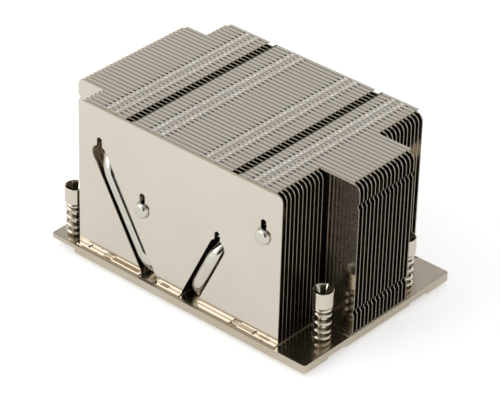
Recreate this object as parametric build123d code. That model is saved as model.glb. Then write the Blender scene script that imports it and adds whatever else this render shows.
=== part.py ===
from build123d import *
from functools import cache
import math
import os

# Overall sizes, in millimetres
OVERALL_HEIGHT = 64.0
PLATE_LENGTH = 118.0
PLATE_WIDTH = 77.6
PLATE_THICKNESS = 3.2
PLATE_CORNER = 1.0

# Contact block under the plate, which presses on the processor
CONTACT_LENGTH = 70.0
CONTACT_WIDTH = 54.0
CONTACT_HEIGHT = 1.8
CONTACT_CHAMFER = 0.5

# Zipper fins: folded sheets with a top flange to the back and a foot to the front
FIN_COUNT = 37
FIN_PITCH = 2.02
FIN_SHEET = 0.4
FIN_CORNER = 3.2
FIN_BEND = 0.7
FIN_PATTERN_X = -0.6
SHORT_LEFT = -47.8
SHORT_RIGHT = 44.6
LONG_LEFT = -57.9
LONG_RIGHT = 58.7

# Fins cut short at each corner of the stack, to clear the screws
SHORT_FRONT_LEFT = 5
SHORT_BACK_LEFT = 6
SHORT_FRONT_RIGHT = 11
SHORT_BACK_RIGHT = 11

# Small nicks in the end edges of the long fins, where they were parted from the strip
NICK_DEPTH = 0.6
NICK_HEIGHT = 2.3
NICK_LEVELS = (8.7, 50.85)

# Interlocks along the top flanges, measured from the pattern's middle: a slot across each bend,
# which takes two dipped tabs and a flat middle one from the fin in front, and a pilot hole behind it
LOCK_PLACES = (-33.4, -12.2, 12.2, 33.4)
LOCK_SLOT_LENGTH = 7.4
LOCK_SLOT_DROP = 1.0
LOCK_TAB_WIDTH = 2.1
LOCK_TAB_PLACE = 2.0
LOCK_TAB_DIP = 0.2
LOCK_MIDDLE_WIDTH = 1.3
LOCK_REACH = 0.7
LOCK_CLEARANCE = 0.06
LOCK_RELIEF = 0.5
LOCK_PILOT_PLACE = -0.2
LOCK_PILOT_DEPTH = 1.2
LOCK_PILOT_SIZE = 0.4

# Open windows in the flanges, from the web to the free edge
WINDOW_PLACES = (-24.1, 24.1)
WINDOW_LENGTH = 3.0

# Holes, slits and small notches punched in the foot of the front fin
FOOT_HOLE_RADIUS = 0.65
FOOT_HOLE_PLACE = 34.9
FOOT_SLOT_PLACE = -41.9
FOOT_SLOT_LENGTH = 1.0
FOOT_SLOT_WIDTH = 0.9
FOOT_HOOK_PLACES = (-34.5, 24.8)
FOOT_HOOK_LENGTH = 2.6
FOOT_SLIT = 0.25
FOOT_NOTCH_PLACES = (-37.7, 39.5)
FOOT_NOTCH_RADIUS = 0.35

# Heat pipes: each is a U in a leaning plane
PIPE_RADIUS = 3.0
PIPE_BEND = 9.0
PIPE_FIT = 0.12
PIPE_END_ROUND = 1.6
PIPE_STANDOUT = 1.75
PIPE_SETBACK = 2.6
PIPE_LEG_RISE = 0.4
PIPE_LEG_STOP = 10.0
OUTER_TOP_X = 37.4
OUTER_TOP_HEIGHT = 40.3
OUTER_FOOT_X = 13.4
INNER_TOP_X = 17.2
INNER_TOP_HEIGHT = 26.4
INNER_FOOT_X = 4.8
SLOT_FIT = 0.4
SOLDER_NOTCH_RADIUS = 1.25
SOLDER_NOTCH_REACH = 3.6

# Captive screws, sprung off the plate
LEFT_SCREW_X = -53.2
LEFT_SCREW_Y = 32.6
RIGHT_SCREW_X = 51.9
RIGHT_SCREW_Y = 22.0
SCREW_HEIGHT = 19.6
HEAD_RADIUS = 3.75
HEAD_HEIGHT = 6.5
HEAD_FOOT_CHAMFER = 0.55
RIM_WIDTH = 0.3
CUP_DEPTH = 1.1
CUP_FLOOR_RADIUS = 1.5
RECESS_WIDTH = 1.3
RECESS_REACH = 2.7
RECESS_DEPTH = 3.2
RECESS_TURN = 40.0
SHANK_RADIUS = 2.0
SHANK_CLEARANCE = 0.3
THREAD_RADIUS = 1.75
THREAD_LENGTH = 2.4
THREAD_CHAMFER = 0.4
EAR_THICKNESS = 1.6

# Retaining clips under the plate
CLIP_RADIUS = 3.4
CLIP_THICKNESS = 0.6
CLIP_GAP_WIDTH = 2.4
CLIP_PLAY = 0.05
CLIP_GROOVE_RADIUS = 1.4
COUNTERBORE_RADIUS = 4.5
CHANNEL_WIDTH = 9.4
CHANNEL_DEPTH = 0.7

# Compression springs
SPRING_OUTER_RADIUS = 3.25
SPRING_WIRE = 0.9
SPRING_TURNS = 4.0
SPRING_PLAY = 0.03

# Places worked out from the sizes above
PLATE_UNDERSIDE = CONTACT_HEIGHT
PLATE_TOP = PLATE_UNDERSIDE + PLATE_THICKNESS
FIN_HEIGHT = OVERALL_HEIGHT - PLATE_TOP
FIRST_FIN_Y = PLATE_WIDTH / 2 - FIN_COUNT * FIN_PITCH
LAST_FIN_BACK = FIRST_FIN_Y + (FIN_COUNT - 1) * FIN_PITCH + FIN_SHEET
EAR_UNDERSIDE = PLATE_TOP - EAR_THICKNESS
PIPE_LEG_HEIGHT = PLATE_TOP + PIPE_LEG_RISE
FRONT_RISER_Y = FIRST_FIN_Y + PIPE_SETBACK
BACK_RISER_Y = LAST_FIN_BACK - PIPE_SETBACK
HEAD_UNDERSIDE = PLATE_TOP + SCREW_HEIGHT - HEAD_HEIGHT
CLIP_TOP = EAR_UNDERSIDE - CLIP_PLAY

# Name, top x and height, foot x, and which end it rises at
PIPES = {
    "heat_pipe_front_outer": (-OUTER_TOP_X, OUTER_TOP_HEIGHT, -OUTER_FOOT_X, "front"),
    "heat_pipe_front_inner": (INNER_TOP_X, INNER_TOP_HEIGHT, INNER_FOOT_X, "front"),
    "heat_pipe_rear_outer": (OUTER_TOP_X, OUTER_TOP_HEIGHT, OUTER_FOOT_X, "back"),
    "heat_pipe_rear_inner": (-INNER_TOP_X, INNER_TOP_HEIGHT, -INNER_FOOT_X, "back"),
}

SCREWS = {
    "front_left": (LEFT_SCREW_X, -LEFT_SCREW_Y),
    "back_left": (LEFT_SCREW_X, LEFT_SCREW_Y),
    "front_right": (RIGHT_SCREW_X, -RIGHT_SCREW_Y),
    "back_right": (RIGHT_SCREW_X, RIGHT_SCREW_Y),
}


def pipe_corners(place):
    """Top end, top bend, foot bend and foot end of one pipe's centre line."""
    top_x, top_height, foot_x, end = place
    if end == "front":
        riser = FRONT_RISER_Y
        top_end = LAST_FIN_BACK + PIPE_STANDOUT
        foot_end = PLATE_WIDTH / 2 - PIPE_LEG_STOP
    else:
        riser = BACK_RISER_Y
        top_end = FIRST_FIN_Y - PIPE_STANDOUT
        foot_end = PIPE_LEG_STOP - PLATE_WIDTH / 2
    top_x += FIN_PATTERN_X
    foot_x += FIN_PATTERN_X
    top_z = PLATE_TOP + top_height
    return [
        Vector(top_x, top_end, top_z),
        Vector(top_x, riser, top_z),
        Vector(foot_x, riser, PIPE_LEG_HEIGHT),
        Vector(foot_x, foot_end, PIPE_LEG_HEIGHT),
    ]


def pipe_solid(place, radius):
    """A round bar along one pipe's centre line."""
    corners = pipe_corners(place)
    path = FilletPolyline(*corners, radius=PIPE_BEND)
    start = Plane(origin=corners[0], z_dir=corners[1] - corners[0])
    return sweep(start * Circle(radius), path=path)


def heat_pipe(place):
    """A closed pipe with its two ends rounded over."""
    pipe = pipe_solid(place, PIPE_RADIUS)
    corners = pipe_corners(place)
    ends = [e for e in pipe.edges().filter_by(GeomType.CIRCLE)
            if min((e.arc_center - corners[0]).length, (e.arc_center - corners[3]).length) < PIPE_FIT]
    return fillet(ends, PIPE_END_ROUND)


def slot_reach(depth):
    """How far a slot reaches along the riser from a leg, in a fin this far behind the riser's middle.

    A fin in front of the riser's back wall is slotted all along it, which None says. Behind that, the
    slot clears the inside of the bend, and past the bend it is the leg's own round hole.
    """
    wall = PIPE_BEND - PIPE_RADIUS - PIPE_FIT
    if depth < PIPE_RADIUS + PIPE_FIT:
        return None
    if depth >= PIPE_BEND:
        return 0.0
    inside = wall ** 2 - (PIPE_BEND - depth) ** 2
    reach = PIPE_BEND - math.sqrt(max(inside, 0.0))
    return max(reach - PIPE_RADIUS - PIPE_FIT, 0.0)


def slot_between(start, end, radius):
    """A round-ended slot in the web from one centre to another."""
    if (end - start).length < PIPE_FIT:
        return Pos(start.X, start.Y) * Circle(radius)
    middle = (start + end) / 2
    lean = math.degrees(math.atan2(end.Y - start.Y, end.X - start.X))
    return Pos(middle.X, middle.Y) * Rot(0, 0, lean) * SlotCenterToCenter((end - start).length, 2 * radius)


def pipe_state(place, fin_y):
    """How one pipe passes one fin: its slot's reach along the riser, and whether its foot leg is there."""
    top_end, top, foot, foot_end = pipe_corners(place)
    middle = fin_y + FIN_SHEET / 2
    inward = 1 if place[3] == "front" else -1
    depth = (middle - top.Y) * inward - FIN_SHEET / 2
    leg_left = (foot_end.Y - middle) * inward
    return slot_reach(depth), leg_left > -PIPE_FIT


def pipe_cut(place, state, outermost):
    """What one pipe takes out of a fin's web, drawn in the web's own plane."""
    reach, has_leg = state
    top_end, top, foot, foot_end = pipe_corners(place)
    top_point = Vector(top.X, top.Z)
    foot_point = Vector(foot.X, foot.Z)
    along = (foot_point - top_point).normalized()
    if reach is None:
        radius = PIPE_RADIUS + SLOT_FIT
        cut = slot_between(top_point, foot_point, radius)
    else:
        radius = PIPE_RADIUS + PIPE_FIT
        cut = slot_between(top_point, top_point + along * reach, radius)
        if has_leg:
            cut += slot_between(foot_point - along * reach, foot_point, radius)
    if has_leg or reach is None:
        cut += Pos(foot_point.X, PLATE_TOP) * Rectangle(2 * radius, 2 * PIPE_LEG_RISE)
    if outermost:
        notch_top = Vector(top_point.X, top_point.Y + PIPE_RADIUS + SOLDER_NOTCH_REACH - SOLDER_NOTCH_RADIUS)
        cut += slot_between(top_point, notch_top, SOLDER_NOTCH_RADIUS)
    return cut


def web_outline(left, right):
    """A web with rounded top corners, and a small nick at two levels of each end that isn't cut short."""
    outline = Pos((left + right) / 2, PLATE_TOP + FIN_HEIGHT / 2) * Rectangle(right - left, FIN_HEIGHT)
    outline = fillet(outline.vertices().group_by(Axis.Y)[-1], FIN_CORNER)
    long_ends = [(x, inward) for x, inward in ((left, 1), (right, -1)) if x in (LONG_LEFT, LONG_RIGHT)]
    for edge, inward in long_ends:
        for level in NICK_LEVELS:
            height = PLATE_TOP + level
            outline -= Polygon(
                (edge, height - NICK_HEIGHT / 2),
                (edge + inward * NICK_DEPTH, height - NICK_HEIGHT / 4),
                (edge + inward * NICK_DEPTH, height + NICK_HEIGHT / 4),
                (edge, height + NICK_HEIGHT / 2),
                align=None,
            )
    return outline


def fin_section():
    """The folded sheet's section: a foot to the front, a web, and a top flange to the back."""
    foot_front = FIN_SHEET - FIN_PITCH
    foot_top = PLATE_TOP + FIN_SHEET
    flange_under = OVERALL_HEIGHT - FIN_SHEET
    section = Polygon(
        (foot_front, PLATE_TOP),
        (FIN_SHEET, PLATE_TOP),
        (FIN_SHEET, flange_under),
        (FIN_PITCH, flange_under),
        (FIN_PITCH, OVERALL_HEIGHT),
        (0, OVERALL_HEIGHT),
        (0, foot_top),
        (foot_front, foot_top),
        align=None,
    )
    outside = [(FIN_SHEET, PLATE_TOP), (0, OVERALL_HEIGHT)]
    inside = [(FIN_SHEET, flange_under), (0, foot_top)]
    for corners, radius in ((outside, FIN_BEND), (inside, FIN_BEND - FIN_SHEET)):
        for corner in corners:
            section = fillet(section.vertices().sort_by_distance(corner)[0], radius)
    return section


def lock_cuts(first):
    """The openings in the top flange: interlocks with their pilot holes, and windows.

    The first fin has no fin in front to lock with, so only the two ends of each slot are punched in it.
    """
    through = 4 * FIN_SHEET
    if first:
        end = Box(LOCK_RELIEF, LOCK_RELIEF, through)
        slot_half = (LOCK_SLOT_LENGTH - LOCK_RELIEF) / 2
        slot = Pos(-slot_half, LOCK_REACH) * end + Pos(slot_half, LOCK_REACH) * end
    else:
        slot = Box(LOCK_SLOT_LENGTH, 2 * (LOCK_REACH + LOCK_CLEARANCE), 2 * LOCK_SLOT_DROP)
    pilot = Pos(LOCK_PILOT_PLACE, LOCK_PILOT_DEPTH) * Box(LOCK_PILOT_SIZE, LOCK_PILOT_SIZE, through)
    align_window = (Align.CENTER, Align.MIN, Align.CENTER)
    window = Pos(0, FIN_SHEET) * Box(WINDOW_LENGTH, FIN_PITCH, through, align=align_window)
    cuts = []
    for place in LOCK_PLACES:
        cuts.append(Pos(FIN_PATTERN_X + place, 0, OVERALL_HEIGHT) * slot)
        cuts.append(Pos(FIN_PATTERN_X + place, 0, OVERALL_HEIGHT) * pilot)
    for place in WINDOW_PLACES:
        cuts.append(Pos(FIN_PATTERN_X + place, 0, OVERALL_HEIGHT) * window)
    return cuts


def lock_tabs():
    """The tabs that reach from the free edge into the next fin's slots, the two outer ones dipped."""
    under = OVERALL_HEIGHT - FIN_SHEET
    tip = FIN_PITCH + LOCK_REACH
    side = Polygon(
        (FIN_PITCH, under),
        (tip, under - LOCK_TAB_DIP),
        (tip, OVERALL_HEIGHT - LOCK_TAB_DIP),
        (FIN_PITCH, OVERALL_HEIGHT),
        align=None,
    )
    tab = extrude(Plane.YZ * side, LOCK_TAB_WIDTH / 2, both=True)
    middle = Box(LOCK_MIDDLE_WIDTH, LOCK_REACH, FIN_SHEET, align=(Align.CENTER, Align.MIN, Align.MAX))
    tabs = []
    for place in LOCK_PLACES:
        centre = FIN_PATTERN_X + place
        tabs.append(Pos(centre - LOCK_TAB_PLACE, 0, 0) * tab)
        tabs.append(Pos(centre + LOCK_TAB_PLACE, 0, 0) * tab)
        tabs.append(Pos(centre, FIN_PITCH, OVERALL_HEIGHT) * middle)
    return tabs


def foot_marks():
    """The hole, the slot, the two hook-shaped slits and the two edge notches in the front fin's foot."""
    through = 4 * FIN_SHEET
    foot_edge = FIN_SHEET - FIN_PITCH
    foot_middle = FIN_SHEET - FIN_PITCH / 2
    hole = Pos(FIN_PATTERN_X + FOOT_HOLE_PLACE, foot_middle, PLATE_TOP) * Cylinder(FOOT_HOLE_RADIUS, through)
    slot = Box(FOOT_SLOT_WIDTH, FOOT_SLOT_LENGTH, through)
    marks = [hole, Pos(FIN_PATTERN_X + FOOT_SLOT_PLACE, foot_middle, PLATE_TOP) * slot]
    for place in FOOT_HOOK_PLACES:
        across = Box(FOOT_SLIT, FIN_PITCH - FIN_SHEET, through, align=(Align.CENTER, Align.MIN, Align.CENTER))
        along = Box(FOOT_HOOK_LENGTH, FOOT_SLIT, through, align=(Align.MIN, Align.CENTER, Align.CENTER))
        marks.append(Pos(FIN_PATTERN_X + place, foot_edge, PLATE_TOP) * across)
        marks.append(Pos(FIN_PATTERN_X + place, foot_middle, PLATE_TOP) * along)
    for place in FOOT_NOTCH_PLACES:
        marks.append(Pos(FIN_PATTERN_X + place, foot_edge, PLATE_TOP) * Cylinder(FOOT_NOTCH_RADIUS, through))
    return marks


@cache
def fin_form(left, right, pipe_states, first, last):
    """A folded and punched fin with its web's front face at y = 0, made once for all fins that are alike."""
    web = web_outline(left, right)
    for place, state in zip(PIPES.values(), pipe_states):
        web -= pipe_cut(place, state, first or last)
    folded = Pos(left, 0, 0) * extrude(Plane.YZ * fin_section(), right - left)
    sheet = folded & extrude(Plane.XZ * web, 2 * FIN_PITCH, both=True)
    cuts = lock_cuts(first)
    for end, align_x in ((left, Align.MIN), (right, Align.MAX)):
        flange_end = Box(FIN_CORNER, FIN_PITCH, 2 * FIN_CORNER, align=(align_x, Align.MIN, Align.CENTER))
        cuts.append(Pos(end, FIN_SHEET, OVERALL_HEIGHT) * flange_end)
    if first:
        cuts += foot_marks()
    sheet = sheet - cuts
    return sheet if last else sheet + lock_tabs()


def fin(index):
    """One fin of the stack, counted from the front."""
    from_back = FIN_COUNT - 1 - index
    left = SHORT_LEFT if index < SHORT_FRONT_LEFT or from_back < SHORT_BACK_LEFT else LONG_LEFT
    right = SHORT_RIGHT if index < SHORT_FRONT_RIGHT or from_back < SHORT_BACK_RIGHT else LONG_RIGHT
    fin_y = FIRST_FIN_Y + index * FIN_PITCH
    pipe_states = tuple(pipe_state(place, fin_y) for place in PIPES.values())
    return Pos(0, fin_y, 0) * fin_form(left, right, pipe_states, index == 0, from_back == 0)


def base_plate():
    """The plate with its contact block, pipe grooves, thin left ears and screw holes."""
    align_up = (Align.CENTER, Align.CENTER, Align.MIN)
    plate = Pos(0, 0, PLATE_UNDERSIDE) * Box(PLATE_LENGTH, PLATE_WIDTH, PLATE_THICKNESS, align=align_up)
    plate = fillet(plate.edges().filter_by(Axis.Z), PLATE_CORNER)
    block = Box(CONTACT_LENGTH, CONTACT_WIDTH, CONTACT_HEIGHT, align=align_up)
    block = chamfer(block.faces().sort_by(Axis.Z)[0].edges(), CONTACT_CHAMFER)
    plate = plate + block
    ear_length = SHORT_LEFT + PLATE_LENGTH / 2
    align_ear = (Align.MAX, Align.CENTER, Align.MAX)
    under_ear = Box(2 * ear_length, 2 * PLATE_WIDTH, PLATE_THICKNESS, align=align_ear)
    plate -= Pos(SHORT_LEFT, 0, EAR_UNDERSIDE) * under_ear
    for x, y in SCREWS.values():
        plate -= Pos(x, y, PLATE_TOP) * Cylinder(SHANK_RADIUS + SHANK_CLEARANCE, 4 * PLATE_THICKNESS)
        if x > 0:
            bore_depth = EAR_UNDERSIDE - PLATE_UNDERSIDE
            plate -= Pos(x, y, EAR_UNDERSIDE) * Cylinder(
                COUNTERBORE_RADIUS, 2 * bore_depth, align=(Align.CENTER, Align.CENTER, Align.MAX))
            align_channel = (Align.MIN, Align.CENTER, Align.CENTER)
            plate -= Pos(x, y, PLATE_UNDERSIDE) * Box(
                PLATE_LENGTH, CHANNEL_WIDTH, 2 * CHANNEL_DEPTH, align=align_channel)
    for place in PIPES.values():
        plate -= pipe_solid(place, PIPE_RADIUS + PIPE_FIT)
    return plate


def captive_screw():
    """A shouldered screw on the z axis: a cupped head with a cross recess, a clip groove, a short thread."""
    head_top = PLATE_TOP + SCREW_HEIGHT
    groove_top = CLIP_TOP + CLIP_PLAY
    groove_foot = CLIP_TOP - CLIP_THICKNESS - CLIP_PLAY
    tip = groove_foot - THREAD_LENGTH
    profile = Polyline(
        (0, head_top - CUP_DEPTH),
        (CUP_FLOOR_RADIUS, head_top - CUP_DEPTH),
        (HEAD_RADIUS - RIM_WIDTH, head_top),
        (HEAD_RADIUS, head_top),
        (HEAD_RADIUS, HEAD_UNDERSIDE + HEAD_FOOT_CHAMFER),
        (HEAD_RADIUS - HEAD_FOOT_CHAMFER, HEAD_UNDERSIDE),
        (SHANK_RADIUS, HEAD_UNDERSIDE),
        (SHANK_RADIUS, groove_top),
        (CLIP_GROOVE_RADIUS, groove_top),
        (CLIP_GROOVE_RADIUS, groove_foot),
        (THREAD_RADIUS, groove_foot),
        (THREAD_RADIUS, tip + THREAD_CHAMFER),
        (THREAD_RADIUS - THREAD_CHAMFER, tip),
        (0, tip),
        close=True,
    )
    screw = revolve(Plane.XZ * make_face(profile), Axis.Z)
    align_down = (Align.CENTER, Align.CENTER, Align.MAX)
    wing = Box(2 * RECESS_REACH, RECESS_WIDTH, RECESS_DEPTH, align=align_down)
    recess = wing + Rot(0, 0, 90) * wing
    return screw - Pos(0, 0, head_top) * Rot(0, 0, RECESS_TURN) * recess


def retaining_clip():
    """An open flat ring that sits in the screw's groove, on the z axis."""
    ring = Circle(CLIP_RADIUS) - Circle(CLIP_GROOVE_RADIUS + CLIP_PLAY)
    mouth = Rectangle(CLIP_RADIUS, CLIP_GAP_WIDTH, align=(Align.MIN, Align.CENTER))
    return Pos(0, 0, CLIP_TOP) * extrude(ring - mouth, -CLIP_THICKNESS)


def screw_spring():
    """A left-hand coil with its ends ground flat, between the plate and the screw's head, on the z axis."""
    foot = PLATE_TOP
    top = HEAD_UNDERSIDE - SPRING_PLAY
    coil_radius = SPRING_OUTER_RADIUS - SPRING_WIRE / 2
    coil_pitch = (top - foot) / SPRING_TURNS
    path = Pos(0, 0, foot) * Helix(coil_pitch, top - foot, coil_radius, lefthand=True)
    start = Plane(origin=path @ 0, z_dir=path % 0)
    coil = sweep(start * Circle(SPRING_WIRE / 2), path=path, is_frenet=True)
    slab_size = 4 * SPRING_OUTER_RADIUS
    align_up = (Align.CENTER, Align.CENTER, Align.MIN)
    return coil & Pos(0, 0, foot) * Box(slab_size, slab_size, top - foot, align=align_up)


def write(name, shape):
    """One sub-part in one file."""
    shape.label = name
    export_step(shape, f"parts/{name}.step")


def main():
    os.makedirs("parts", exist_ok=True)
    write("base_plate", base_plate())
    for index in range(FIN_COUNT):
        write(f"fin_{index + 1:02d}", fin(index))
    for name, place in PIPES.items():
        write(name, heat_pipe(place))
    screw = captive_screw()
    clip = retaining_clip()
    spring = screw_spring()
    for name, (x, y) in SCREWS.items():
        write(f"captive_screw_{name}", Pos(x, y, 0) * screw)
        write(f"retaining_clip_{name}", Pos(x, y, 0) * clip)
        write(f"screw_spring_{name}", Pos(x, y, 0) * spring)


main()
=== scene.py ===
"""Dresses a packed passive server cpu heatsink: plated fins, pipes, plate and sprung captive screws."""
import bpy
import math
import numpy as np
from bpy.props import FloatProperty, FloatVectorProperty, PointerProperty
from mathutils import Matrix, Vector


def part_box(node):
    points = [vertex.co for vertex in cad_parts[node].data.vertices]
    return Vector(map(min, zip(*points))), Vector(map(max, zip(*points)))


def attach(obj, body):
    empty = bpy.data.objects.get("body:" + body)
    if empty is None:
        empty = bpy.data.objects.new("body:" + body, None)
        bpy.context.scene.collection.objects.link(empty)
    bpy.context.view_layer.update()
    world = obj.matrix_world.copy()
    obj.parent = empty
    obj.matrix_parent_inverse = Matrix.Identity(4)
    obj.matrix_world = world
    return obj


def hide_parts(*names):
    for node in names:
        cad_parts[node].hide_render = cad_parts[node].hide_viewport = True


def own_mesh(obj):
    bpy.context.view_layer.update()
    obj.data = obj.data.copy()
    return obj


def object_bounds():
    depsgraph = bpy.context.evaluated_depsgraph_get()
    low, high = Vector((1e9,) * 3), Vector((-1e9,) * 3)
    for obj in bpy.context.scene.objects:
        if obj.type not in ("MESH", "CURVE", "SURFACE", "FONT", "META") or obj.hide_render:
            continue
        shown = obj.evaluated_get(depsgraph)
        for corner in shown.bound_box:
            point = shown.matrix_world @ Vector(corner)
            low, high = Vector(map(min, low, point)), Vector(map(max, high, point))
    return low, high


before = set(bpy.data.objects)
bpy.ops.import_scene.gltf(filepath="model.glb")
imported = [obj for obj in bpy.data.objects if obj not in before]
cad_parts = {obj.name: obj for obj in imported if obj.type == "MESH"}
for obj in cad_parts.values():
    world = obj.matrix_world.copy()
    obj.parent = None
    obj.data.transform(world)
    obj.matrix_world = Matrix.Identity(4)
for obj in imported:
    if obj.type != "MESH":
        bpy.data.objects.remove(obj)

bl_info = {
    "name": "Passive heatsink dresser",
    "version": (1, 0, 0),
    "blender": (4, 5, 0),
    "location": "3D View > Sidebar > Heatsink",
    "description": "Finishes the fins, plate, pipes and screws of a packed heatsink and sets its studio",
    "category": "Object",
}

MM = 0.001
CORNERS = ("front_left", "back_left", "front_right", "back_right")
FINS = sorted(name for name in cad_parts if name.startswith("fin_"))
PIPES = sorted(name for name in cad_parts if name.startswith("heat_pipe_"))
CAD_LOW, CAD_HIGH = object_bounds()
PLATE_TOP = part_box("base_plate")[1].z
SHARP_ANGLE = math.radians(38)

# The fins' own sizes, which their marks follow
FIRST_FIN_FRONT = -35.94 * MM
FIN_PITCH = 2.02 * MM
FIN_TOP = CAD_HIGH.z
FLANGE_REACH = 1.1 * MM
FIRST_FOLD_REACH = 1.2 * MM
LOCK_PLACES = (12.2 * MM, 33.4 * MM)
LOCK_HALF = 3.7 * MM
RELIEF_SPAN = (LOCK_HALF - 0.4 * MM, LOCK_HALF + 0.35 * MM)
PILOT_SPAN = (0.65 * MM, 1.05 * MM)
TAB_SPAN = (1.1 * MM, 3.0 * MM)
WINDOW_PLACE = 24.1 * MM
WINDOW_HALF = 1.55 * MM

# How far behind a fin's front each mark lies, in shares of the pitch
FOLD_SHARE = (-0.05, 0.4)
PILOT_SHARE = (0.08, 0.3)
TAB_SHARE = (0.02, 0.34)
WEB_LINE_SHARE = (0.08, 0.16)
TORN_SHARE = (0.1, 0.25)

# Painted brown reflections and painted shade on the front foot, each from x to x and from y to y
FOOT_PAINTED_MARKS = (
    ((-31.4 * MM, -18.9 * MM), (-36.8 * MM, -36.2 * MM)),
    ((-8.6 * MM, -4.9 * MM), (-36.7 * MM, -36.2 * MM)),
    ((-34.6 * MM, -31.4 * MM), (-37.55 * MM, -36.95 * MM)),
    ((24.2 * MM, 27.4 * MM), (-37.55 * MM, -36.95 * MM)),
    ((24.0 * MM, 24.7 * MM), (-37.5 * MM, -36.4 * MM)),
    ((27.4 * MM, 33.6 * MM), (-36.8 * MM, -36.4 * MM)),
    ((36.4 * MM, 41.0 * MM), (-36.5 * MM, -36.1 * MM)),
)

# Painted shade on the plate beside the fins' feet: how far out from its middle line it starts, and half its
# length
FIN_FOOT_SHADE_START = 37.5 * MM
FIN_FOOT_SHADE_HALF = 45.4 * MM

# Chamfer at a screw's tip, over which its thread runs out
TIP_CHAMFER = 0.4 * MM

# Colours of the painted glints on the interlock tabs and of the painted marks on the front foot
GLINT_BRIGHT = (0.98, 0.97, 0.95, 1)
GLINT_DULL = (0.5, 0.48, 0.44, 1)
FOOT_PAINT_BROWN = (0.34, 0.2, 0.09, 1)
FOOT_PAINT_DARK = (0.1, 0.055, 0.025, 1)

# Directions in which mirrors see a dark card and a dim corner, and cosines where their edges fade
DARK_CARD = (0.42, -0.89, 0.17)
DARK_CARD_EDGE = (0.935, 0.965)
DIM_CORNER = (0.50, -0.62, 0.60)
DIM_CORNER_EDGE = (0.90, 0.96)

# Heights, as sines, between which the mirrored walls, ceiling and horizon fade
WALL_FADE = (0.38, 0.74)
CEILING_FADE = (0.86, 0.95)
HORIZON_FADE = (0.0, 0.5)

# The soft box and what it faces
KEY_PLACE = (-1.1, -1.5, 1.4)
KEY_AIM = (0, 0, 0.03)


class HeatsinkColours(bpy.types.PropertyGroup):
    """Base colours of the plated metals."""
    fin: FloatVectorProperty(name="Fins", description="Plated fin sheet", subtype="COLOR",
                             default=(0.74, 0.69, 0.61), min=0, max=1)
    plate: FloatVectorProperty(name="Plate", description="Plated base plate", subtype="COLOR",
                               default=(0.64, 0.58, 0.48), min=0, max=1)
    pipe: FloatVectorProperty(name="Pipes", description="Plated heat pipes", subtype="COLOR",
                              default=(0.70, 0.665, 0.60), min=0, max=1)
    screw: FloatVectorProperty(name="Screws", description="Plated captive screws", subtype="COLOR",
                               default=(0.74, 0.69, 0.59), min=0, max=1)
    spring: FloatVectorProperty(name="Springs", description="Plated spring wire", subtype="COLOR",
                                default=(0.76, 0.71, 0.62), min=0, max=1)
    clip: FloatVectorProperty(name="Clips", description="Spring steel clips", subtype="COLOR",
                              default=(0.42, 0.41, 0.40), min=0, max=1)


class HeatsinkScrew(bpy.types.PropertyGroup):
    """Sizes of the captive screws and their springs."""
    head_radius: FloatProperty(name="Head radius", description="Barrel of the head", default=3.75 * MM,
                               unit="LENGTH", precision=5)
    head_height: FloatProperty(name="Head height", description="From its foot to its rim", default=6.5 * MM,
                               unit="LENGTH", precision=5)
    rim_width: FloatProperty(name="Rim", description="Flat rim round the cup", default=0.3 * MM,
                             unit="LENGTH", precision=5)
    rim_round: FloatProperty(name="Rim edge", description="Radius of the rim's outer edge",
                             default=0.2 * MM, unit="LENGTH", precision=5)
    foot_chamfer: FloatProperty(name="Head foot", description="Chamfer at the head's foot",
                                default=0.55 * MM, unit="LENGTH", precision=5)
    cup_depth: FloatProperty(name="Cup depth", description="How deep the head is dished", default=2.3 * MM,
                             unit="LENGTH", precision=5)
    hub_radius: FloatProperty(name="Hub radius", description="Flat middle of the cup", default=1.5 * MM,
                              unit="LENGTH", precision=5)
    recess_depth: FloatProperty(name="Recess depth", description="Cross recess under the rim",
                                default=3.1 * MM, unit="LENGTH", precision=5)
    recess_width: FloatProperty(name="Recess width", description="Each wing of the cross", default=2.0 * MM,
                                unit="LENGTH", precision=5)
    recess_reach: FloatProperty(name="Recess reach", description="From the axis to a wing's end",
                                default=3.1 * MM, unit="LENGTH", precision=5)
    recess_turn: FloatProperty(name="Recess turn", description="How far the cross is turned",
                               default=math.radians(40), subtype="ANGLE")
    shank_radius: FloatProperty(name="Shank radius", description="Inside the spring", default=1.9 * MM,
                                unit="LENGTH", precision=5)
    groove_radius: FloatProperty(name="Groove radius", description="Where the clip sits", default=1.4 * MM,
                                 unit="LENGTH", precision=5)
    groove_length: FloatProperty(name="Groove length", description="Along the shank", default=0.7 * MM,
                                 unit="LENGTH", precision=5)
    thread_radius: FloatProperty(name="Thread radius", description="Over the crests", default=1.75 * MM,
                                 unit="LENGTH", precision=5)
    thread_length: FloatProperty(name="Thread length", description="From the clip to the tip",
                                 default=2.4 * MM, unit="LENGTH", precision=5)
    thread_pitch: FloatProperty(name="Thread pitch", description="From crest to crest", default=0.6 * MM,
                                unit="LENGTH", precision=5)
    thread_depth: FloatProperty(name="Thread depth", description="From crest to root", default=0.3 * MM,
                                unit="LENGTH", precision=5)
    coil_radius: FloatProperty(name="Coil radius", description="Outside of the spring", default=3.4 * MM,
                               unit="LENGTH", precision=5)
    wire: FloatProperty(name="Wire", description="Thickness of the spring's wire", default=1.3 * MM,
                        unit="LENGTH", precision=5)
    turns: FloatProperty(name="Turns", description="All turns of the spring, closed ones too", default=5.0)
    closed_turns: FloatProperty(name="Closed turns", description="Turns that lie together at each end",
                                default=1.0)
    start: FloatProperty(name="Start", description="Where the spring's wire starts",
                         default=math.radians(200), subtype="ANGLE")


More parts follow.
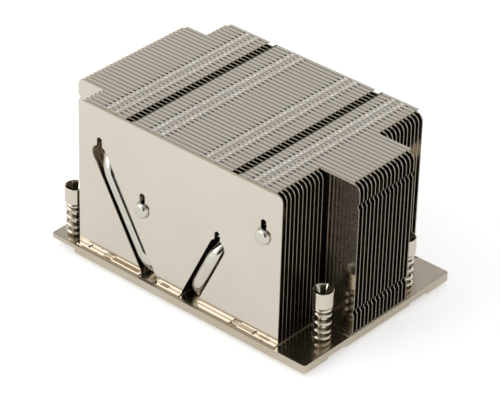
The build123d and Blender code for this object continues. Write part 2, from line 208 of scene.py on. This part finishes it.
class HeatsinkStage(bpy.types.PropertyGroup):
    """Where the camera stands, and how bright the floor and the lamps are."""
    azimuth: FloatProperty(name="Azimuth", description="Camera's turn round the object",
                           default=math.radians(40.559), subtype="ANGLE")
    elevation: FloatProperty(name="Elevation", description="Camera's height above the horizon",
                             default=math.radians(32.418), subtype="ANGLE")
    roll: FloatProperty(name="Roll", description="Camera's lean", default=math.radians(1.675),
                        subtype="ANGLE")
    distance: FloatProperty(name="Distance", description="From the camera to the aim", default=0.967262,
                            unit="LENGTH")
    aim_height: FloatProperty(name="Aim height", description="Height of the aim above the floor",
                              default=0.0338, unit="LENGTH")
    slide: FloatProperty(name="Slide", description="Camera's move to its own right", default=-0.000303,
                         unit="LENGTH")
    lift: FloatProperty(name="Lift", description="Camera's move to its own top", default=-0.005935,
                        unit="LENGTH")
    lens: FloatProperty(name="Lens", description="Focal length in millimetres on a 36 mm sensor",
                        default=201.02)
    floor_colour: FloatVectorProperty(name="Floor", description="Colour of the floor",
                                      subtype="COLOR", default=(0.8, 0.8, 0.795), min=0, max=1)
    floor_radius: FloatProperty(name="Floor radius", description="Reach of the floor", default=0.45,
                                unit="LENGTH")
    floor_glow: FloatProperty(name="Floor glow", description="What the camera sees added", default=0.45)
    mirrored_glow: FloatProperty(name="Mirrored glow", description="What metal sees added to the floor",
                                 default=0.24)
    world_light: FloatProperty(name="World light", description="Even light from all round", default=0.72)
    mirrored_world: FloatProperty(name="Mirrored room", description="What metal mirrors of the walls",
                                  default=0.7)
    mirrored_ring: FloatProperty(name="Mirrored ring", description="What metal mirrors above the walls",
                                 default=0.4)
    mirrored_horizon: FloatProperty(name="Mirrored horizon", description="What metal sees added low down",
                                    default=0.4)
    mirrored_card: FloatProperty(name="Mirrored card", description="What metal mirrors of the dark card",
                                 default=0.03)
    mirrored_corner: FloatProperty(name="Mirrored corner", description="What metal mirrors of the corner",
                                   default=0.2)
    key_power: FloatProperty(name="Key", description="Power of the large soft box in front", default=18.0)
    key_size: FloatProperty(name="Key size", description="Side of the soft box", default=2.0,
                            unit="LENGTH")


def settings():
    """The scene, which holds the colours, the screws' sizes and the stage's settings."""
    return bpy.context.scene


def link(tree, source, socket, target, entry):
    """Joins one node's output to another's input."""
    tree.links.new(source.outputs[socket], target.inputs[entry])


def node(tree, kind, **values):
    """A node of one kind, with its inputs set by name."""
    made = tree.nodes.new(kind)
    for name, value in values.items():
        if name in made.inputs:
            made.inputs[name].default_value = value
        else:
            setattr(made, name, value)
    return made


def metal(name, colour, roughness):
    """A metal with its shader ready, and the object coordinates that its patterns read."""
    material = bpy.data.materials.new(name)
    material.use_nodes = True
    tree = material.node_tree
    shader = tree.nodes["Principled BSDF"]
    shader.inputs["Base Color"].default_value = (*colour, 1)
    shader.inputs["Metallic"].default_value = 1.0
    shader.inputs["Roughness"].default_value = roughness
    place = tree.nodes.new("ShaderNodeTexCoord")
    return material, tree, shader, place


def stretched_noise(tree, place, scale, size, detail=3.0):
    """Noise on the object's own coordinates, drawn out by a scale on each axis."""
    mapping = node(tree, "ShaderNodeMapping", Scale=scale)
    link(tree, place, "Object", mapping, "Vector")
    noise = node(tree, "ShaderNodeTexNoise", Scale=size, Detail=detail)
    link(tree, mapping, "Vector", noise, "Vector")
    return noise


def ranged(tree, source, start, end, low, high, **ways):
    """A value that goes from low to high as the source goes from start to end."""
    step = node(tree, "ShaderNodeMapRange", **ways)
    for name, value in (("From Min", start), ("From Max", end), ("To Min", low), ("To Max", high)):
        step.inputs[name].default_value = value
    tree.links.new(source, step.inputs["Value"])
    return step.outputs["Result"]


def spread(tree, source, low=0.0, high=1.0):
    """A value between low and high that follows a texture."""
    return ranged(tree, source.outputs["Fac"], 0.3, 0.7, low, high)


def shade(tree, shader, entry, value):
    """Leads a worked-out colour or value to one of the shader's inputs."""
    tree.links.new(value, shader.inputs[entry])


def bumped(tree, shader, source, strength, distance):
    """A fine relief on the shader from one texture."""
    bump = node(tree, "ShaderNodeBump", Strength=strength, Distance=distance)
    link(tree, source, "Fac", bump, "Height")
    link(tree, bump, "Normal", shader, "Normal")


def normal_mask(tree, place, first, second, gain):
    """How far a face turns between two of its own axes: gain times their product, kept between 0 and 1."""
    parts = node(tree, "ShaderNodeSeparateXYZ")
    link(tree, place, "Normal", parts, "Vector")
    product = calculated(tree, "MULTIPLY", parts.outputs[first], parts.outputs[second])
    raised = calculated(tree, "MULTIPLY", product, gain)
    raised.node.use_clamp = True
    return raised


def blended(tree, mask, low, high):
    """A mix of two colours or two values, sockets or constants, by a mask."""
    mix = node(tree, "ShaderNodeMix", data_type="RGBA")
    tree.links.new(mask, mix.inputs[0])
    for entry, value in ((6, low), (7, high)):
        if isinstance(value, bpy.types.NodeSocket):
            tree.links.new(value, mix.inputs[entry])
        else:
            mix.inputs[entry].default_value = value
    return mix.outputs[2]


def grey(value):
    """A colour with three equal parts."""
    return value, value, value, 1


def dimmed(colour, factor):
    """A colour with each part reduced."""
    return tuple(c * f for c, f in zip(colour, factor)) + (1,)


def calculated(tree, operation, *parts):
    """One step of arithmetic on sockets and constants."""
    step = node(tree, "ShaderNodeMath", operation=operation)
    for entry, value in enumerate(parts):
        if isinstance(value, bpy.types.NodeSocket):
            tree.links.new(value, step.inputs[entry])
        else:
            step.inputs[entry].default_value = value
    return step.outputs[0]


def within(tree, value, low, high):
    """1 between two values, 0 elsewhere."""
    return calculated(tree, "COMPARE", value, (low + high) / 2, (high - low) / 2)


def together(tree, first, *others):
    """1 where every mask is 1."""
    for mask in others:
        first = calculated(tree, "MULTIPLY", first, mask)
    return first


def either(tree, first, *others):
    """1 where one of the masks is 1."""
    for mask in others:
        first = calculated(tree, "MAXIMUM", first, mask)
    return first


def fin_places(tree, place):
    """Where the marks of one fin lie, as masks on its own coordinates.

    The share of the pitch is the distance behind the fin's front over the pitch, less its whole part. The
    lock distance is how far x lies from the middle of the nearest interlock.
    """
    axes = node(tree, "ShaderNodeSeparateXYZ")
    link(tree, place, "Object", axes, "Vector")
    x, y, z = (axes.outputs[name] for name in "XYZ")
    behind = calculated(tree, "SUBTRACT", y, FIRST_FIN_FRONT)
    share = calculated(tree, "FRACT", calculated(tree, "DIVIDE", behind, FIN_PITCH))
    sideways = calculated(tree, "ABSOLUTE", x)
    inner = calculated(tree, "ABSOLUTE", calculated(tree, "SUBTRACT", sideways, LOCK_PLACES[0]))
    outer = calculated(tree, "ABSOLUTE", calculated(tree, "SUBTRACT", sideways, LOCK_PLACES[1]))
    lock = calculated(tree, "MINIMUM", inner, outer)
    on_top = calculated(tree, "GREATER_THAN", z, FIN_TOP - FLANGE_REACH)
    joined = together(tree, on_top, calculated(tree, "GREATER_THAN", behind, FIRST_FOLD_REACH))
    relief = together(tree, within(tree, share, *FOLD_SHARE), within(tree, lock, *RELIEF_SPAN))
    pilot = together(tree, within(tree, share, *PILOT_SHARE), within(tree, lock, *PILOT_SPAN))
    window = within(tree, sideways, WINDOW_PLACE - WINDOW_HALF, WINDOW_PLACE + WINDOW_HALF)
    off_line = calculated(tree, "SUBTRACT", 1, within(tree, share, *WEB_LINE_SHARE))
    front = calculated(tree, "LESS_THAN", y, FIRST_FIN_FRONT + 0.05 * MM)
    low = calculated(tree, "LESS_THAN", z, PLATE_TOP + FLANGE_REACH)
    under_fold = calculated(tree, "LESS_THAN", z, FIN_TOP - 1.5 * MM)
    marks = [together(tree, within(tree, x, *across), within(tree, y, *deep))
             for across, deep in FOOT_PAINTED_MARKS]
    return {
        "dots": together(tree, joined, either(tree, relief, pilot)),
        "lock": together(tree, joined, calculated(tree, "LESS_THAN", lock, LOCK_HALF)),
        "tabs": together(tree, joined, within(tree, share, *TAB_SHARE), within(tree, lock, *TAB_SPAN)),
        "window": together(tree, joined, window, off_line),
        "torn": together(tree, within(tree, share, *TORN_SHARE), under_fold),
        "foot_paint": together(tree, front, low, either(tree, *marks)),
    }


def fin_metal():
    """Rolled and plated sheet: a near mirror with faint grain along x, rougher and darker in its cut ends,
    and rougher in its folds, which get painted shade that turns to a painted highlight in the interlocks.

    The interlock tabs get painted glints, the interlocks' punched holes, their cut ends and the windows get
    painted shade, half of each other cut end is torn and dark, and the front foot gets painted brown
    reflections and painted shade.
    """
    colour = settings().heatsink_colours.fin
    material, tree, shader, place = metal("plated_fin_sheet", colour, 0.1)
    places = fin_places(tree, place)
    clouds = stretched_noise(tree, place, (1, 1, 1), 45)
    sheet = blended(tree, spread(tree, clouds), (*colour, 1), dimmed(colour, (0.975, 0.965, 0.945)))
    # The folds get painted shade, and in the interlocks a painted highlight instead
    fold = normal_mask(tree, place, "Y", "Z", -3.4)
    shaded = blended(tree, places["lock"], dimmed(colour, (0.4, 0.37, 0.31)),
                     dimmed(colour, (0.9, 0.89, 0.88)))
    folded = blended(tree, fold, sheet, shaded)
    # Painted glints and dark specks at random on the interlock tabs
    glint_noise = stretched_noise(tree, place, (1, 1, 1), 1100, 1)
    painted_glints = blended(tree, spread(tree, glint_noise), GLINT_BRIGHT, GLINT_DULL)
    folded = blended(tree, places["tabs"], folded, painted_glints)
    end = normal_mask(tree, place, "X", "X", 1.0)
    torn = blended(tree, places["torn"], dimmed(colour, (0.7, 0.66, 0.61)),
                   dimmed(colour, (0.2, 0.17, 0.15)))
    # The cut ends in the interlocks get painted shade
    cut = blended(tree, places["lock"], torn, dimmed(colour, (0.2, 0.18, 0.16)))
    ended = blended(tree, end, folded, cut)
    # The interlocks' punched holes and the windows get painted shade
    dark = either(tree, places["dots"], places["window"])
    hole_shaded = blended(tree, dark, ended, dimmed(colour, (0.04, 0.035, 0.03)))
    # Painted brown reflections and painted shade on the front foot
    streaks = stretched_noise(tree, place, (2600, 300, 300), 1, 2)
    foot_paint = blended(tree, spread(tree, streaks), FOOT_PAINT_BROWN, FOOT_PAINT_DARK)
    shade(tree, shader, "Base Color", blended(tree, places["foot_paint"], hole_shaded, foot_paint))
    grain = stretched_noise(tree, place, (60, 900, 900), 1, 2)
    rough = blended(tree, fold, spread(tree, grain, 0.11, 0.16), grey(0.35))
    rough = blended(tree, end, rough, grey(0.4))
    rough = blended(tree, either(tree, dark, places["foot_paint"]), rough, grey(0.4))
    shade(tree, shader, "Roughness", rough)
    bumped(tree, shader, clouds, 0.05, 0.0001)
    return material


def plate_metal():
    """Milled plate, satin plated: cutter lines along x, clouding, and painted shade beside the fins' feet.
    """
    colour = settings().heatsink_colours.plate
    material, tree, shader, place = metal("plated_base_plate", colour, 0.2)
    axes = node(tree, "ShaderNodeSeparateXYZ")
    link(tree, place, "Object", axes, "Vector")
    beside = calculated(tree, "GREATER_THAN", calculated(tree, "ABSOLUTE", axes.outputs["Y"]), FIN_FOOT_SHADE_START)
    along = calculated(tree, "LESS_THAN", calculated(tree, "ABSOLUTE", axes.outputs["X"]), FIN_FOOT_SHADE_HALF)
    on_top = calculated(tree, "GREATER_THAN", axes.outputs["Z"], PLATE_TOP - 0.03 * MM)
    # The plate's top beside the fins' feet gets painted shade
    fin_foot_shade = together(tree, beside, along, on_top)
    clouds = stretched_noise(tree, place, (1, 1, 1), 60, 5)
    plain = blended(tree, spread(tree, clouds), (*colour, 1), dimmed(colour, (0.9, 0.87, 0.82)))
    fin_foot_shade_colour = dimmed(colour, (0.45, 0.42, 0.38))
    shade(tree, shader, "Base Color", blended(tree, fin_foot_shade, plain, fin_foot_shade_colour))
    grain = stretched_noise(tree, place, (40, 1400, 1400), 1, 3)
    milled = spread(tree, grain, 0.14, 0.28)
    shade(tree, shader, "Roughness", blended(tree, fin_foot_shade, milled, grey(0.45)))
    bumped(tree, shader, grain, 0.10, 0.00003)
    return material


def pipe_metal():
    """Drawn tube, bright plated, with faint uneven flow."""
    colour = settings().heatsink_colours.pipe
    material, tree, shader, place = metal("plated_heat_pipe", colour, 0.1)
    flow = stretched_noise(tree, place, (1, 1, 1), 220)
    plain = blended(tree, spread(tree, flow), (*colour, 1), dimmed(colour, (0.93, 0.91, 0.87)))
    shade(tree, shader, "Base Color", plain)
    shade(tree, shader, "Roughness", spread(tree, flow, 0.06, 0.16))
    bumped(tree, shader, flow, 0.05, 0.00005)
    return material


def screw_metal():
    """Turned steel, bright plated, with faint rings up its length; rougher, and with painted shade, where
    "recess" is 1.
    """
    colour = settings().heatsink_colours.screw
    material, tree, shader, place = metal("plated_screw_steel", colour, 0.08)
    rings = stretched_noise(tree, place, (80, 80, 2400), 1, 2)
    turned = blended(tree, spread(tree, rings), (*colour, 1), dimmed(colour, (0.95, 0.93, 0.9)))
    # Painted shade in the cross recess
    recess = node(tree, "ShaderNodeAttribute", attribute_name="recess").outputs["Fac"]
    shaded = dimmed(colour, (0.09, 0.08, 0.06))
    shade(tree, shader, "Base Color", blended(tree, recess, turned, shaded))
    rough = spread(tree, rings, 0.05, 0.14)
    shade(tree, shader, "Roughness", blended(tree, recess, rough, grey(0.4)))
    bumped(tree, shader, rings, 0.05, 0.00002)
    return material


def spring_metal():
    """Drawn wire, bright plated, slightly uneven."""
    colour = settings().heatsink_colours.spring
    material, tree, shader, place = metal("plated_spring_wire", colour, 0.1)
    flow = stretched_noise(tree, place, (1, 1, 1), 500)
    plain = blended(tree, spread(tree, flow), (*colour, 1), dimmed(colour, (0.92, 0.9, 0.86)))
    shade(tree, shader, "Base Color", plain)
    shade(tree, shader, "Roughness", spread(tree, flow, 0.07, 0.16))
    bumped(tree, shader, flow, 0.04, 0.00002)
    return material


def clip_metal():
    """Stamped spring steel, oiled grey, with a tumbled surface."""
    colour = settings().heatsink_colours.clip
    material, tree, shader, place = metal("clip_spring_steel", colour, 0.3)
    tumble = stretched_noise(tree, place, (1, 1, 1), 900)
    plain = blended(tree, spread(tree, tumble), (*colour, 1), dimmed(colour, (0.85, 0.84, 0.82)))
    shade(tree, shader, "Base Color", plain)
    shade(tree, shader, "Roughness", spread(tree, tumble, 0.24, 0.4))
    bumped(tree, shader, tumble, 0.1, 0.00003)
    return material


def coat(names, material):
    """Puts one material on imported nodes."""
    for name in names:
        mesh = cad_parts[name].data
        mesh.materials.clear()
        mesh.materials.append(material)


class HEATSINK_OT_fins(bpy.types.Operator):
    """Finishes the zipper fins"""
    bl_idname = "heatsink.fins"
    bl_label = "Fins"

    def execute(self, context):
        coat(FINS, fin_metal())
        return {"FINISHED"}


class HEATSINK_OT_plate(bpy.types.Operator):
    """Finishes the base plate"""
    bl_idname = "heatsink.plate"
    bl_label = "Base plate"

    def execute(self, context):
        coat(["base_plate"], plate_metal())
        return {"FINISHED"}


class HEATSINK_OT_pipes(bpy.types.Operator):
    """Finishes the four heat pipes"""
    bl_idname = "heatsink.pipes"
    bl_label = "Heat pipes"

    def execute(self, context):
        coat(PIPES, pipe_metal())
        return {"FINISHED"}


def axis_of(node_name):
    """The middle of a node's box in x and y, and its lowest and highest z."""
    low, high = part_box(node_name)
    return (low.x + high.x) / 2, (low.y + high.y) / 2, low.z, high.z


def cross_radius(turn, half_width, reach):
    """A cross in polar form: reach over the cosine on a wing's end, half width over the sine beside it."""
    wing = (turn + math.pi / 4) % (math.pi / 2) - math.pi / 4
    on_end = reach / np.cos(wing)
    beside = half_width / np.maximum(np.abs(np.sin(wing)), 1e-6)
    return np.minimum(on_end, beside)


def cross_turns(half_width, reach):
    """Column angles that meet each corner of the cross, closer together on the wings' ends."""
    corner = math.atan2(half_width, reach)
    side = np.linspace(corner, math.pi / 2 - corner, 15)
    end = np.linspace(-corner, corner, 7)[1:-1]
    quarter = np.concatenate([end, side])
    return (quarter[None, :] + np.arange(4)[:, None] * math.pi / 2).ravel()


def screw_surface(sizes, x, y, tip, top):
    """A screw as rings of points: each ring has a radius and a height for each turn round the axis.

    From the middle of the recess out: a cross that widens with height by a taper, then a cup whose height
    rises in line with radius from its hub, a rim, the barrel, the shank, the clip groove and a thread. In
    the thread the radius falls by the depth times a triangle wave of height over pitch plus turn. The
    second result is 1 for each ring of the recess. The rings run from the tip up, so the faces look out.
    """
    turn = cross_turns(sizes.recess_width / 2, sizes.recess_reach)
    cross = cross_radius(turn, sizes.recess_width / 2, sizes.recess_reach)
    flat = np.ones_like(turn)
    cup_rim = sizes.head_radius - sizes.rim_width
    rings = []

    def cup_height(radius):
        share = (cup_rim - radius) / (cup_rim - sizes.hub_radius)
        return top - sizes.cup_depth * np.clip(share, 0, 1)

    floor = top - sizes.recess_depth
    for share in np.linspace(0.02, 0.6, 5):
        rings.append((cross * share, flat * floor - 0.3 * MM * (0.6 - share)))
    for share in np.linspace(0, 1, 9)[1:]:
        radius = cross * (0.6 + 0.4 * share)
        rings.append((radius, floor * (1 - share) + cup_height(cross) * share))
    cross_rings = len(rings) - 1
    for share in np.linspace(0, 1, 15)[1:]:
        radius = cross * (1 - share) + cup_rim * share
        rings.append((radius, cup_height(radius)))
    foot = top - sizes.head_height
    bend = np.linspace(0, math.pi / 2, 6)
    rim_centre = sizes.head_radius - sizes.rim_round
    rounded = [(rim_centre + sizes.rim_round * math.sin(a), top - sizes.rim_round * (1 - math.cos(a)))
               for a in bend]
    barrel = np.linspace(top - sizes.rim_round, foot + sizes.foot_chamfer, 6)[1:]
    neck = sizes.shank_radius
    groove_foot = tip + sizes.thread_length
    groove_top = groove_foot + sizes.groove_length
    profile = rounded + [(sizes.head_radius, z) for z in barrel]
    profile += [(sizes.head_radius - sizes.foot_chamfer, foot), (neck, foot)]
    profile += [(neck, z) for z in np.linspace(foot - 0.05 * MM, groove_top, 9)]
    profile += [(sizes.groove_radius, groove_top), (sizes.groove_radius, groove_foot)]
    rings += [(flat * radius, flat * z) for radius, z in profile]
    heights = np.linspace(groove_foot, tip, 36)
    for z in heights:
        wave = np.abs(((z / sizes.thread_pitch + turn / (2 * math.pi)) % 1) * 2 - 1)
        ease = min(1, (z - tip) / TIP_CHAMFER)
        radius = (sizes.thread_radius - TIP_CHAMFER * (1 - ease)) - sizes.thread_depth * wave * ease
        rings.append((radius, flat * z))
    rings.append((flat * 0.02 * MM, flat * tip))
    radius = np.array([r for r, z in rings])
    height = np.array([z for r, z in rings])
    angle = turn + sizes.recess_turn
    points = np.stack([x + radius * np.cos(angle), y + radius * np.sin(angle), height], axis=-1)
    # The rings of the cross recess, which get painted shade
    shaded_recess = (np.arange(len(rings)) < cross_rings).astype(float)
    return points[::-1], shaded_recess[::-1]


def smooth_object(name, points, faces):
    """An object with smooth faces, sharp only where they meet at a steep angle."""
    mesh = bpy.data.meshes.new(name)
    mesh.from_pydata(points, [], faces)
    mesh.polygons.foreach_set("use_smooth", np.ones(len(mesh.polygons), dtype=bool))
    mesh.set_sharp_from_angle(angle=SHARP_ANGLE)
    mesh.update()
    made = bpy.data.objects.new(name, mesh)
    bpy.context.scene.collection.objects.link(made)
    return made


def ring_faces(rows, columns):
    """The four-sided faces between rings of points, rows by columns, each ring closed on itself."""
    index = np.arange(rows * columns).reshape(rows, columns)
    ahead = np.roll(index, -1, axis=1)
    return np.stack([index[:-1], ahead[:-1], ahead[1:], index[1:]], axis=-1).reshape(-1, 4)


def closed_rings(name, points):
    """A sheet round an axis, closed at its first and last rings by a fan to the middle of each."""
    rows, columns = points.shape[:2]
    ring = np.arange(columns)
    ahead = np.roll(ring, -1)
    before_last = (rows - 1) * columns
    first, last = rows * columns, rows * columns + 1
    start = np.stack([np.full(columns, first), ahead, ring], axis=-1)
    end = np.stack([np.full(columns, last), before_last + ring, before_last + ahead], axis=-1)
    faces = ring_faces(rows, columns).tolist() + start.tolist() + end.tolist()
    middles = np.stack([points[0].mean(axis=0), points[-1].mean(axis=0)])
    return smooth_object(name, np.concatenate([points.reshape(-1, 3), middles]), faces)


def make_screw(sizes, corner, material):
    """One captive screw, which turns and rises with its own body."""
    x, y, tip, top = axis_of(f"captive_screw_{corner}")
    points, shaded_recess = screw_surface(sizes, x, y, tip, top)
    screw = closed_rings(f"threaded_screw_{corner}", points)
    # Marks the recess rings for their painted shade
    recess = screw.data.attributes.new("recess", "FLOAT", "POINT")
    recess.data.foreach_set("value", np.concatenate([np.repeat(shaded_recess, points.shape[1]), [0, 1]]))
    screw.data.materials.append(material)
    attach(screw, f"screw_{corner}")
    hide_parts(f"captive_screw_{corner}")


def make_spring(sizes, corner, material):
    """One left-hand coil: the wire's middle turns backwards as it climbs.

    Its climb per turn is the wire's own thickness in the closed turns at each end and eases to an even
    pitch between them. Points outside the two ground ends are laid flat on them.
    """
    x, y, foot, top = axis_of(f"screw_spring_{corner}")
    coil_radius = sizes.coil_radius - sizes.wire / 2
    steps = int(sizes.turns * 56) + 1
    turned = np.linspace(0, sizes.turns, steps)
    inward = np.minimum(turned, sizes.turns - turned)
    ease = np.clip((inward - sizes.closed_turns + 0.25) / 0.5, 0, 1)
    ease = ease * ease * (3 - 2 * ease)
    closed = np.cumsum(1 - ease) * sizes.wire * 1.02
    open_share = np.cumsum(ease)
    step = sizes.turns / (steps - 1)
    climb = (top - foot) - sizes.wire * 0.5
    pitch = (climb - closed[-1] * step) / (open_share[-1] * step)
    middle = foot + sizes.wire * 0.25 + (closed + open_share * pitch) * step
    angle = sizes.start - 2 * math.pi * turned
    centre = np.stack([x + coil_radius * np.cos(angle), y + coil_radius * np.sin(angle), middle], axis=-1)
    along = np.gradient(centre, axis=0)
    along /= np.linalg.norm(along, axis=1, keepdims=True)
    outward = np.stack([np.cos(angle), np.sin(angle), np.zeros_like(angle)], axis=-1)
    outward -= along * np.sum(outward * along, axis=1, keepdims=True)
    outward /= np.linalg.norm(outward, axis=1, keepdims=True)
    side = np.cross(along, outward)
    around = np.linspace(0, 2 * math.pi, 17)[:-1]
    ring = outward[:, None] * np.cos(around)[None, :, None] + side[:, None] * np.sin(around)[None, :, None]
    points = centre[:, None] + ring * sizes.wire / 2
    points[..., 2] = np.clip(points[..., 2], foot, top)
    spring = closed_rings(f"coiled_spring_{corner}", points)
    spring.data.materials.append(material)
    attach(spring, "base")
    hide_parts(f"screw_spring_{corner}")
    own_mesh(spring)


class HEATSINK_OT_screws(bpy.types.Operator):
    """Makes the captive screws and springs, and finishes the clips under the plate"""
    bl_idname = "heatsink.screws"
    bl_label = "Captive screws"

    def execute(self, context):
        sizes = settings().heatsink_screw
        steel, wire = screw_metal(), spring_metal()
        for corner in CORNERS:
            make_screw(sizes, corner, steel)
            make_spring(sizes, corner, wire)
        coat([f"retaining_clip_{corner}" for corner in CORNERS], clip_metal())
        return {"FINISHED"}


def camera_frame(stage):
    """The camera's right, up and forward directions, and its place."""
    azimuth, elevation, roll = stage.azimuth, stage.elevation, stage.roll
    forward = Vector((-math.sin(azimuth) * math.cos(elevation), math.cos(azimuth) * math.cos(elevation),
                      -math.sin(elevation)))
    level = Vector((math.cos(azimuth), math.sin(azimuth), 0))
    top = level.cross(forward)
    right = level * math.cos(roll) + top * math.sin(roll)
    up = top * math.cos(roll) - level * math.sin(roll)
    aim = Vector((0, 0, stage.aim_height))
    place = aim - forward * stage.distance + right * stage.slide + up * stage.lift
    return right, up, forward, place


def set_camera(stage):
    """The camera at the photograph's angle."""
    right, up, forward, place = camera_frame(stage)
    data = bpy.data.cameras.new("camera")
    data.sensor_width = 36
    data.lens = stage.lens
    data.clip_start = 0.01
    camera = bpy.data.objects.new("camera", data)
    axes = Matrix((right, up, -forward)).transposed()
    camera.matrix_world = Matrix.Translation(place) @ axes.to_4x4()
    bpy.context.scene.collection.objects.link(camera)
    bpy.context.scene.camera = camera


def soft_box(name, place, aim, size, power):
    """A square lamp that faces a point."""
    data = bpy.data.lights.new(name, "AREA")
    data.size = size
    data.energy = power
    lamp = bpy.data.objects.new(name, data)
    lamp.location = place
    lamp.rotation_euler = (Vector(aim) - Vector(place)).to_track_quat("-Z", "Y").to_euler()
    bpy.context.scene.collection.objects.link(lamp)


def add_glow(tree, shader, seen, mirrored):
    """Adds a little light of its own to a surface, for the camera's rays and for mirrors'."""
    path = node(tree, "ShaderNodeLightPath")
    amounts = [calculated(tree, "MULTIPLY", path.outputs[ray], strength)
               for ray, strength in (("Is Camera Ray", seen), ("Is Glossy Ray", mirrored))]
    shader.inputs["Emission Color"].default_value = grey(1)
    shade(tree, shader, "Emission Strength", calculated(tree, "ADD", *amounts))


def pale_floor(stage):
    """A flat disc, from its middle out: ring radius by turn."""
    around = np.linspace(0, 2 * math.pi, 97)[:-1]
    radius = np.linspace(0.0, 1.0, 4) * stage.floor_radius + 0.5 * MM
    across, along = np.outer(radius, np.cos(around)), np.outer(radius, np.sin(around))
    points = np.stack([across, along, np.zeros_like(across)], axis=-1)
    floor = smooth_object("studio_floor", points.reshape(-1, 3), ring_faces(*points.shape[:2]).tolist())
    material = bpy.data.materials.new("studio_floor_white")
    material.use_nodes = True
    tree = material.node_tree
    shader = tree.nodes["Principled BSDF"]
    shader.inputs["Base Color"].default_value = (*stage.floor_colour, 1)
    shader.inputs["Roughness"].default_value = 0.9
    shader.inputs["Specular IOR Level"].default_value = 0.0
    add_glow(tree, shader, stage.floor_glow, stage.mirrored_glow)
    floor.data.materials.append(material)


def smooth_step(tree, source, start, end, low, high):
    """A value that eases from low to high as the source goes from start to end."""
    return ranged(tree, source, start, end, low, high, interpolation_type="SMOOTHSTEP")


def set_world(stage):
    """White for the camera and through glass, and an even soft light elsewhere.

    Mirrors see a pale room that is dimmer between its walls and its ceiling, with a dim corner and a dark
    card.
    """
    world = bpy.data.worlds.new("studio")
    world.use_nodes = True
    tree = world.node_tree
    background = tree.nodes["Background"]
    direction = node(tree, "ShaderNodeTexCoord")
    height = node(tree, "ShaderNodeSeparateXYZ")
    link(tree, direction, "Generated", height, "Vector")
    up = height.outputs["Z"]
    below = smooth_step(tree, up, *WALL_FADE, stage.mirrored_world, stage.mirrored_ring)
    above = smooth_step(tree, up, *CEILING_FADE, 0.0, stage.mirrored_world - stage.mirrored_ring)
    horizon = smooth_step(tree, up, *HORIZON_FADE, stage.mirrored_horizon, 0.0)
    seen = calculated(tree, "ADD", calculated(tree, "ADD", below, above), horizon)
    for middle, edge, level in ((DIM_CORNER, DIM_CORNER_EDGE, stage.mirrored_corner),
                                (DARK_CARD, DARK_CARD_EDGE, stage.mirrored_card)):
        facing = node(tree, "ShaderNodeVectorMath", operation="DOT_PRODUCT")
        link(tree, direction, "Generated", facing, 0)
        facing.inputs[1].default_value = middle
        covered = smooth_step(tree, facing.outputs["Value"], *edge, 0.0, 1.0)
        seen = blended(tree, covered, seen, grey(level))
    path = node(tree, "ShaderNodeLightPath")
    through = either(tree, path.outputs["Is Camera Ray"], path.outputs["Is Transmission Ray"])
    mirrored = node(tree, "ShaderNodeMapRange")
    mirrored.inputs["To Min"].default_value = stage.world_light
    tree.links.new(seen, mirrored.inputs["To Max"])
    link(tree, path, "Is Glossy Ray", mirrored, "Value")
    strength = node(tree, "ShaderNodeMapRange")
    strength.inputs["To Max"].default_value = 1.0
    link(tree, mirrored, "Result", strength, "To Min")
    tree.links.new(through, strength.inputs["Value"])
    link(tree, strength, "Result", background, "Strength")
    background.inputs["Color"].default_value = (1, 1, 1, 1)
    bpy.context.scene.world = world


class HEATSINK_OT_stage(bpy.types.Operator):
    """Sets the floor, the light and the camera"""
    bl_idname = "heatsink.stage"
    bl_label = "Stage"

    def execute(self, context):
        stage = settings().heatsink_stage
        context.scene.view_settings.view_transform = "Standard"
        set_camera(stage)
        pale_floor(stage)
        set_world(stage)
        soft_box("key_light", KEY_PLACE, KEY_AIM, stage.key_size, stage.key_power)
        return {"FINISHED"}


class HEATSINK_PT_panel(bpy.types.Panel):
    """The heatsink's colours, stage and operators"""
    bl_idname = "HEATSINK_PT_panel"
    bl_label = "Heatsink"
    bl_space_type = "VIEW_3D"
    bl_region_type = "UI"
    bl_category = "Heatsink"

    def draw(self, context):
        scene = context.scene
        for group in (scene.heatsink_colours, scene.heatsink_screw, scene.heatsink_stage):
            for name in group.bl_rna.properties.keys():
                if name not in ("rna_type", "name"):
                    self.layout.prop(group, name)
        for operator in OPERATORS:
            self.layout.operator(operator.bl_idname)


OPERATORS = (HEATSINK_OT_stage, HEATSINK_OT_fins, HEATSINK_OT_plate, HEATSINK_OT_pipes, HEATSINK_OT_screws)
CLASSES = (HeatsinkColours, HeatsinkScrew, HeatsinkStage, *OPERATORS, HEATSINK_PT_panel)


def register():
    """Adds the classes and the scene's settings."""
    for item in CLASSES:
        bpy.utils.register_class(item)
    bpy.types.Scene.heatsink_colours = PointerProperty(type=HeatsinkColours)
    bpy.types.Scene.heatsink_screw = PointerProperty(type=HeatsinkScrew)
    bpy.types.Scene.heatsink_stage = PointerProperty(type=HeatsinkStage)


def unregister():
    """Takes them away again."""
    del bpy.types.Scene.heatsink_stage
    del bpy.types.Scene.heatsink_screw
    del bpy.types.Scene.heatsink_colours
    for item in reversed(CLASSES):
        bpy.utils.unregister_class(item)


def main():
    """Runs every operator in order."""
    register()
    bpy.ops.heatsink.stage()
    bpy.ops.heatsink.fins()
    bpy.ops.heatsink.plate()
    bpy.ops.heatsink.pipes()
    bpy.ops.heatsink.screws()


if __name__ == "__main__":
    main()
